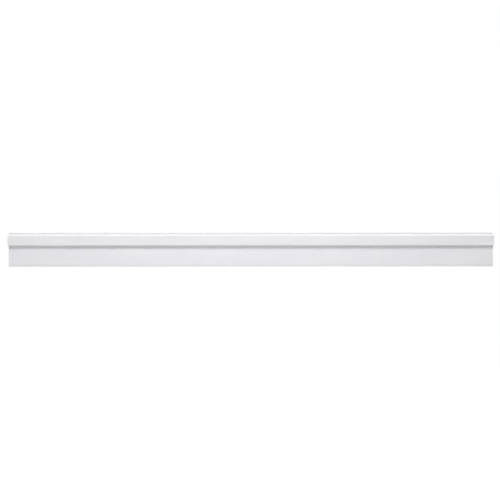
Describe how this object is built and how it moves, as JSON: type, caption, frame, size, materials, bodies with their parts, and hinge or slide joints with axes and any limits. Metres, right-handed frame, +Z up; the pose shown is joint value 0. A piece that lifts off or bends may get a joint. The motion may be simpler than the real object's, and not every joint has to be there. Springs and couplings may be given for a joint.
{
  "type": "door sweep",
  "caption": "Long white door sweep: a slotted rail, a hinged hood that clips shut over its screws, and a flexible fin that hangs below and seals the gap under a door.",
  "frame": {"origin": "on the door's face, at the middle of the line of fixing screws", "axes": "+X along the door, +Y into the door, so the front faces -Y, and +Z up"},
  "size_m": [0.9144, 0.0304, 0.0639],
  "materials": {
    "rail_paint": "satin",
    "hood_plastic": "satin",
    "fin_vinyl": "satin",
    "seal_foam": "matte",
    "screw_steel": "satin",
    "plug_plastic": "satin"
  },
  "bodies": {
    "fixings": {"fixing_screws": "screw_steel"},
    "rail": {"mounting_rail": "rail_paint", "back_seal": "seal_foam", "fin_root": "fin_vinyl"},
    "hood": {"hood_cover": "hood_plastic", "end_plug_left": "plug_plastic", "end_plug_right": "plug_plastic"},
    "fin": {"fin_blade": "fin_vinyl"}
  },
  "joints": [
    {"name": "height_adjust", "type": "slide", "parent": "fixings", "child": "rail", "axis": [0, 0, 1], "range_m": [-0.002, 0.002]},
    {"name": "hood_hinge", "type": "hinge", "parent": "rail", "child": "hood", "pos_m": [0, -0.0056, 0.00805], "axis": [-1, 0, 0], "range_deg": [0, 75]},
    {"name": "fin_flex", "type": "hinge", "parent": "rail", "child": "fin", "pos_m": [0, -0.0042, -0.01235], "axis": [-1, 0, 0], "range_deg": [-8, 40], "stiffness_Nm_per_rad": 0.6}
  ]
}
